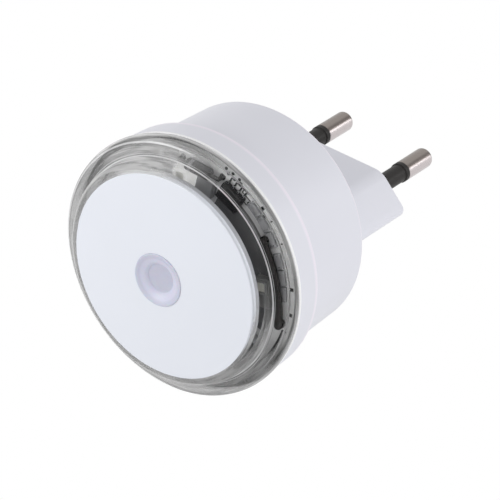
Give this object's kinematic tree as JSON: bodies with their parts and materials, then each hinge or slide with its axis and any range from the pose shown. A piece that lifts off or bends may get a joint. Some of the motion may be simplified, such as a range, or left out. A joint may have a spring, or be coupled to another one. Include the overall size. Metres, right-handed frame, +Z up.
{
  "type": "plug-in night light",
  "caption": "Round white plug-in night light with a clear moulded light ring, domed front cover, twilight sensor window and a two-pin plug behind.",
  "frame": {"origin": "centre of the plug block's face, midway between the pins", "axes": "X along the line of the pins, +Y into the wall along the pins, +Z up"},
  "size_m": [0.0514, 0.0732, 0.0514],
  "materials": {
    "shell": "smooth white moulding",
    "insert": "plain moulding",
    "pins": "nickel plate",
    "sleeves": "satin black",
    "strips": "bare strip",
    "ring": "clear moulded plastic",
    "cover": "smooth white moulding",
    "window": "frosted lilac plastic",
    "tube": "matt black",
    "sensor": "tinted resin",
    "board": "lacquered board",
    "screws": "zinc plate",
    "film": "yellow epoxy box",
    "can": "sleeved can",
    "dark_parts": "black epoxy",
    "fuse": "lacquered body",
    "leds": "phosphor face"
  },
  "bodies": {
    "root": {"rear_housing": "shell", "plug_block": "shell", "pin_insert": "insert", "pin_left": "pins", "pin_right": "pins", "sleeve_left": "sleeves", "sleeve_right": "sleeves", "contact_strip_left": "strips", "contact_strip_right": "strips", "clear_ring": "ring", "cover_disc": "cover", "sensor_window": "window", "sensor_tube": "tube", "photo_sensor": "sensor", "circuit_board": "board", "board_screws": "screws", "film_capacitor": "film", "electrolytic_capacitor": "can", "bridge_rectifier": "dark_parts", "fuse_resistor": "fuse", "transistor": "dark_parts", "driver_chip": "dark_parts", "axial_diode": "dark_parts", "led_1": "leds", "led_2": "leds", "led_3": "leds", "led_4": "leds", "chip_resistor_1": "dark_parts", "chip_resistor_2": "dark_parts", "chip_resistor_3": "dark_parts", "chip_resistor_4": "dark_parts", "chip_resistor_5": "dark_parts", "chip_resistor_6": "dark_parts"}
  },
  "joints": []
}
